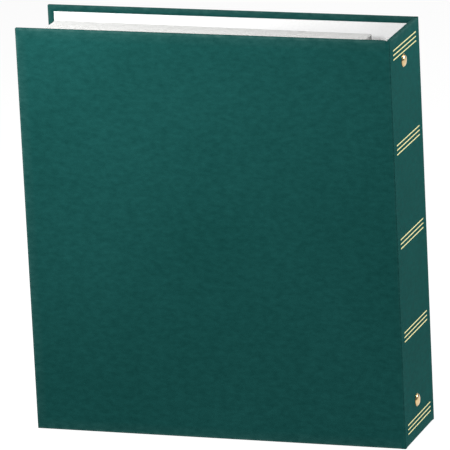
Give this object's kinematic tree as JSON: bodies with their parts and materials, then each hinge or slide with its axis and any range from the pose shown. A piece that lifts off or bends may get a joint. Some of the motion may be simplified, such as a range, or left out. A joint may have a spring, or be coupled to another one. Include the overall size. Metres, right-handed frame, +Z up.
{
  "type": "ring album",
  "caption": "Upright ring album for stamps: leatherette boards, ruled spine with domed rivets, ring metal inside and a thick block of paper leaves.",
  "frame": {"origin": "centre of the bottom of the closed album's box, where it stands", "axes": "+Z up along the spine, +X out of the spine, -Y out of the front cover"},
  "size_m": [0.2982, 0.076, 0.318],
  "materials": {
    "leatherette": "satin grained",
    "board": "matte",
    "liner_paper": "smooth",
    "leaf_paper": "matte",
    "gold_foil": "hot foil",
    "brass": "polished",
    "ring_steel": "nickel plated",
    "pin_steel": "bare"
  },
  "bodies": {
    "spine": {"spine_covering": "leatherette", "spine_board": "board", "spine_liner": "liner_paper", "front_crease": "leatherette", "back_crease": "leatherette", "spine_gold_rules": "gold_foil", "spine_rivets": "brass", "ring_housing": "ring_steel", "upper_lever_pin": "pin_steel", "lower_lever_pin": "pin_steel"},
    "front_cover": {"front_covering": "leatherette", "front_board": "board", "front_liner": "liner_paper"},
    "back_cover": {"back_covering": "leatherette", "back_board": "board", "back_liner": "liner_paper"},
    "front_rings": {"front_blade": "ring_steel", "front_half_ring_lower": "ring_steel", "front_half_ring_middle": "ring_steel", "front_half_ring_upper": "ring_steel"},
    "back_rings": {"back_blade": "ring_steel", "back_half_ring_lower": "ring_steel", "back_half_ring_middle": "ring_steel", "back_half_ring_upper": "ring_steel"},
    "upper_lever": {"upper_lever": "ring_steel"},
    "lower_lever": {"lower_lever": "ring_steel"},
    "leaves_01": {"leaves_01": "leaf_paper"},
    "leaves_02": {"leaves_02": "leaf_paper"},
    "leaves_03": {"leaves_03": "leaf_paper"},
    "leaves_04": {"leaves_04": "leaf_paper"},
    "leaves_05": {"leaves_05": "leaf_paper"},
    "leaves_06": {"leaves_06": "leaf_paper"},
    "leaves_07": {"leaves_07": "leaf_paper"},
    "leaves_08": {"leaves_08": "leaf_paper"},
    "leaves_09": {"leaves_09": "leaf_paper"},
    "leaves_10": {"leaves_10": "leaf_paper"},
    "leaves_11": {"leaves_11": "leaf_paper"},
    "leaves_12": {"leaves_12": "leaf_paper"},
    "leaves_13": {"leaves_13": "leaf_paper"},
    "leaves_14": {"leaves_14": "leaf_paper"},
    "leaves_15": {"leaves_15": "leaf_paper"},
    "leaves_16": {"leaves_16": "leaf_paper"}
  },
  "joints": [
    {"name": "front_cover_hinge", "type": "hinge", "parent": "spine", "child": "front_cover", "pos_m": [0.1465, -0.0376, 0.159], "axis": [0, 0, 1], "range_deg": [0, 180], "deforming": ["front_crease"]},
    {"name": "back_cover_hinge", "type": "hinge", "parent": "spine", "child": "back_cover", "pos_m": [0.1465, 0.0376, 0.159], "axis": [0, 0, -1], "range_deg": [0, 180], "deforming": ["back_crease"]},
    {"name": "front_rings_open", "type": "hinge", "parent": "spine", "child": "front_rings", "pos_m": [0.1423, -0.0189, 0.162], "axis": [0, 0, 1], "range_deg": [0, 4]},
    {"name": "back_rings_open", "type": "hinge", "parent": "spine", "child": "back_rings", "pos_m": [0.1423, 0.0089, 0.162], "axis": [0, 0, -1], "range_deg": [0, 4]},
    {"name": "upper_lever_turn", "type": "hinge", "parent": "spine", "child": "upper_lever", "pos_m": [0.1397, -0.005, 0.3035], "axis": [0, 1, 0], "range_deg": [0, 22]},
    {"name": "lower_lever_turn", "type": "hinge", "parent": "spine", "child": "lower_lever", "pos_m": [0.1397, -0.005, 0.0205], "axis": [0, -1, 0], "range_deg": [0, 22]},
    {"name": "leaves_01_turn", "type": "hinge", "parent": "spine", "child": "leaves_01", "pos_m": [0.1059, -0.02531, 0.162], "axis": [0, 0, 1], "range_deg": [0, 30.01]},
    {"name": "leaves_02_turn", "type": "hinge", "parent": "spine", "child": "leaves_02", "pos_m": [0.1059, -0.02194, 0.162], "axis": [0, 0, 1], "range_deg": [0, 26.26]},
    {"name": "leaves_03_turn", "type": "hinge", "parent": "spine", "child": "leaves_03", "pos_m": [0.1059, -0.01856, 0.162], "axis": [0, 0, 1], "range_deg": [0, 22.51]},
    {"name": "leaves_04_turn", "type": "hinge", "parent": "spine", "child": "leaves_04", "pos_m": [0.1059, -0.01519, 0.162], "axis": [0, 0, 1], "range_deg": [0, 18.76]},
    {"name": "leaves_05_turn", "type": "hinge", "parent": "spine", "child": "leaves_05", "pos_m": [0.1059, -0.01181, 0.162], "axis": [0, 0, 1], "range_deg": [0, 15.01]},
    {"name": "leaves_06_turn", "type": "hinge", "parent": "spine", "child": "leaves_06", "pos_m": [0.1059, -0.00844, 0.162], "axis": [0, 0, 1], "range_deg": [0, 11.26]},
    {"name": "leaves_07_turn", "type": "hinge", "parent": "spine", "child": "leaves_07", "pos_m": [0.1059, -0.00506, 0.162], "axis": [0, 0, 1], "range_deg": [0, 7.51]},
    {"name": "leaves_08_turn", "type": "hinge", "parent": "spine", "child": "leaves_08", "pos_m": [0.1059, -0.00169, 0.162], "axis": [0, 0, 1], "range_deg": [0, 3.76]},
    {"name": "leaves_09_turn", "type": "hinge", "parent": "spine", "child": "leaves_09", "pos_m": [0.1059, 0.00169, 0.162], "axis": [0, 0, -1], "range_deg": [0, 3.76]},
    {"name": "leaves_10_turn", "type": "hinge", "parent": "spine", "child": "leaves_10", "pos_m": [0.1059, 0.00506, 0.162], "axis": [0, 0, -1], "range_deg": [0, 7.51]},
    {"name": "leaves_11_turn", "type": "hinge", "parent": "spine", "child": "leaves_11", "pos_m": [0.1059, 0.00844, 0.162], "axis": [0, 0, -1], "range_deg": [0, 11.26]},
    {"name": "leaves_12_turn", "type": "hinge", "parent": "spine", "child": "leaves_12", "pos_m": [0.1059, 0.01181, 0.162], "axis": [0, 0, -1], "range_deg": [0, 15.01]},
    {"name": "leaves_13_turn", "type": "hinge", "parent": "spine", "child": "leaves_13", "pos_m": [0.1059, 0.01519, 0.162], "axis": [0, 0, -1], "range_deg": [0, 18.76]},
    {"name": "leaves_14_turn", "type": "hinge", "parent": "spine", "child": "leaves_14", "pos_m": [0.1059, 0.01856, 0.162], "axis": [0, 0, -1], "range_deg": [0, 22.51]},
    {"name": "leaves_15_turn", "type": "hinge", "parent": "spine", "child": "leaves_15", "pos_m": [0.1059, 0.02194, 0.162], "axis": [0, 0, -1], "range_deg": [0, 26.26]},
    {"name": "leaves_16_turn", "type": "hinge", "parent": "spine", "child": "leaves_16", "pos_m": [0.1059, 0.02531, 0.162], "axis": [0, 0, -1], "range_deg": [0, 30.01]}
  ],
  "couplings": [
    {"joint": "back_rings_open", "follows": "front_rings_open", "ratio": 1},
    {"joint": "upper_lever_turn", "follows": "front_rings_open", "ratio": 5.5},
    {"joint": "lower_lever_turn", "follows": "front_rings_open", "ratio": 5.5},
    {"joint": "leaves_01_turn", "follows": "front_cover_hinge", "ratio": 0.16667},
    {"joint": "leaves_02_turn", "follows": "front_cover_hinge", "ratio": 0.14583},
    {"joint": "leaves_03_turn", "follows": "front_cover_hinge", "ratio": 0.125},
    {"joint": "leaves_04_turn", "follows": "front_cover_hinge", "ratio": 0.10417},
    {"joint": "leaves_05_turn", "follows": "front_cover_hinge", "ratio": 0.083333},
    {"joint": "leaves_06_turn", "follows": "front_cover_hinge", "ratio": 0.0625},
    {"joint": "leaves_07_turn", "follows": "front_cover_hinge", "ratio": 0.041667},
    {"joint": "leaves_08_turn", "follows": "front_cover_hinge", "ratio": 0.020833},
    {"joint": "leaves_09_turn", "follows": "back_cover_hinge", "ratio": 0.020833},
    {"joint": "leaves_10_turn", "follows": "back_cover_hinge", "ratio": 0.041667},
    {"joint": "leaves_11_turn", "follows": "back_cover_hinge", "ratio": 0.0625},
    {"joint": "leaves_12_turn", "follows": "back_cover_hinge", "ratio": 0.083333},
    {"joint": "leaves_13_turn", "follows": "back_cover_hinge", "ratio": 0.10417},
    {"joint": "leaves_14_turn", "follows": "back_cover_hinge", "ratio": 0.125},
    {"joint": "leaves_15_turn", "follows": "back_cover_hinge", "ratio": 0.14583},
    {"joint": "leaves_16_turn", "follows": "back_cover_hinge", "ratio": 0.16667}
  ]
}
